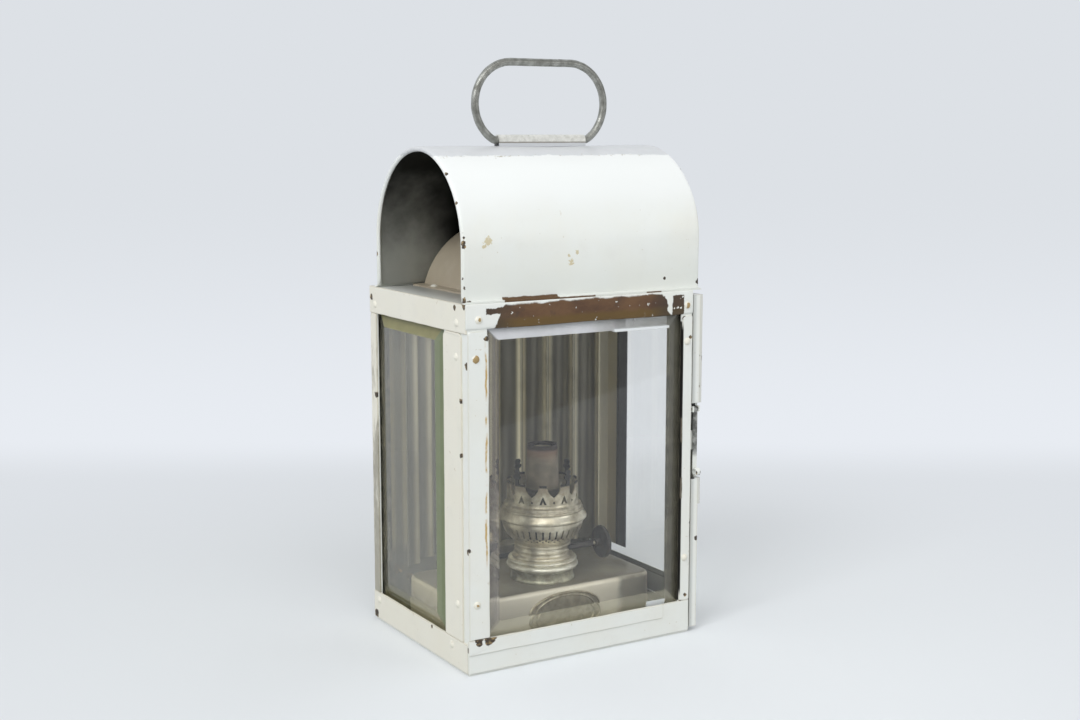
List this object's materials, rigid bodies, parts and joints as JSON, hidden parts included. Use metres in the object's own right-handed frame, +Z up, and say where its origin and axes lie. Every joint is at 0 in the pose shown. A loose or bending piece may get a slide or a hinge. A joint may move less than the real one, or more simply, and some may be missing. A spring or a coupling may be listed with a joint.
{
  "type": "kerosene lantern",
  "caption": "White-painted tin kerosene lantern with a vaulted smoke hood, bevelled panes, a hinged side door and a round-wick burner with a winder.",
  "frame": {"origin": "Middle of the case's footprint on the surface that it stands on.", "axes": "+Z up, the front pane faces -Y, the door is on the +X side."},
  "size_m": [0.168, 0.1325, 0.3601],
  "materials": {
    "paint_white": "old white gloss paint on tin with chips",
    "paint_cream": "yellowed white paint on tin with chips",
    "worn_brass": "brown tarnished sheet with paint rubbed off",
    "vault_paint": "dusty beige paint",
    "galvanised_steel": "mottled galvanised steel",
    "clear_glass": "clear old bevelled glass with a green edge",
    "dull_tin": "dull tinned sheet",
    "worn_nickel": "yellowed nickel plate with brass showing",
    "heat_browned": "brass browned by heat",
    "burnt_cotton": "charred cotton weave",
    "black_iron": "blackened iron"
  },
  "bodies": {
    "case": {"base_pan": "paint_white", "front_left_post": "paint_white", "front_right_post": "paint_white", "rear_left_post": "paint_cream", "rear_right_post": "paint_white", "front_top_rail": "worn_brass", "front_bottom_rail": "paint_white", "front_fold_strip": "paint_white", "left_top_rail": "paint_cream", "left_bottom_rail": "paint_cream", "door_header": "paint_white", "back_panel": "paint_cream", "top_deck": "paint_white", "front_left_strip": "paint_white", "front_right_strip": "paint_white", "left_front_strip": "paint_cream", "left_rear_strip": "paint_cream", "case_rivets": "paint_cream", "front_glass": "clear_glass", "left_glass": "clear_glass", "smoke_vault": "vault_paint", "hood": "paint_white", "handle_sleeve": "galvanised_steel", "hinge_case_leaves": "paint_white", "hinge_pins": "worn_brass", "catch_keeper": "paint_white", "reflector": "dull_tin", "reflector_shelf": "dull_tin", "tank": "dull_tin", "tank_plate": "worn_nickel", "tank_collar": "worn_nickel", "burner_screw_ring": "worn_nickel", "burner_neck": "worn_nickel", "burner_bowl": "worn_nickel", "gallery_ring": "worn_nickel", "crown": "worn_nickel", "wick_tube": "heat_browned", "draft_tube": "heat_browned", "winder_sheath": "worn_nickel"},
    "bail": {"bail_handle": "galvanised_steel"},
    "door": {"door_frame": "paint_white", "door_edge_strip": "paint_white", "door_glass": "clear_glass", "door_glass_clips": "paint_white", "hinge_door_leaves": "paint_white", "catch_lugs": "paint_white", "catch_pin": "worn_brass"},
    "catch": {"catch_leaf": "galvanised_steel"},
    "winder": {"winder_shaft": "worn_nickel", "feed_wheel": "worn_nickel", "winder_knob": "black_iron"},
    "wick_body": {"wick": "burnt_cotton"}
  },
  "joints": [
    {"name": "handle_swing", "type": "hinge", "parent": "case", "child": "bail", "pos_m": [0.006, -0.0035, 0.31075], "axis": [1, 0, 0], "range_deg": [-95, 95]},
    {"name": "door_swing", "type": "hinge", "parent": "case", "child": "door", "pos_m": [0.0836, 0.0605, 0.11], "axis": [0, 0, 1], "range_deg": [0, 110]},
    {"name": "catch_flex", "type": "hinge", "parent": "door", "child": "catch", "pos_m": [0.0834, -0.0625, 0.144], "axis": [-1, 0, 0], "range_deg": [0, 6], "stiffness_Nm_per_rad": 0.01},
    {"name": "winder_turn", "type": "hinge", "parent": "case", "child": "winder", "pos_m": [0.04, -0.0193, 0.0544], "axis": [1, 0, 0], "range_deg": [-70, 107]},
    {"name": "wick_raise", "type": "slide", "parent": "case", "child": "wick_body", "axis": [0, 0, 1], "range_m": [-0.004, 0.006]}
  ],
  "couplings": [
    {"joint": "wick_raise", "follows": "winder_turn", "m_per_rad": 0.0032}
  ]
}
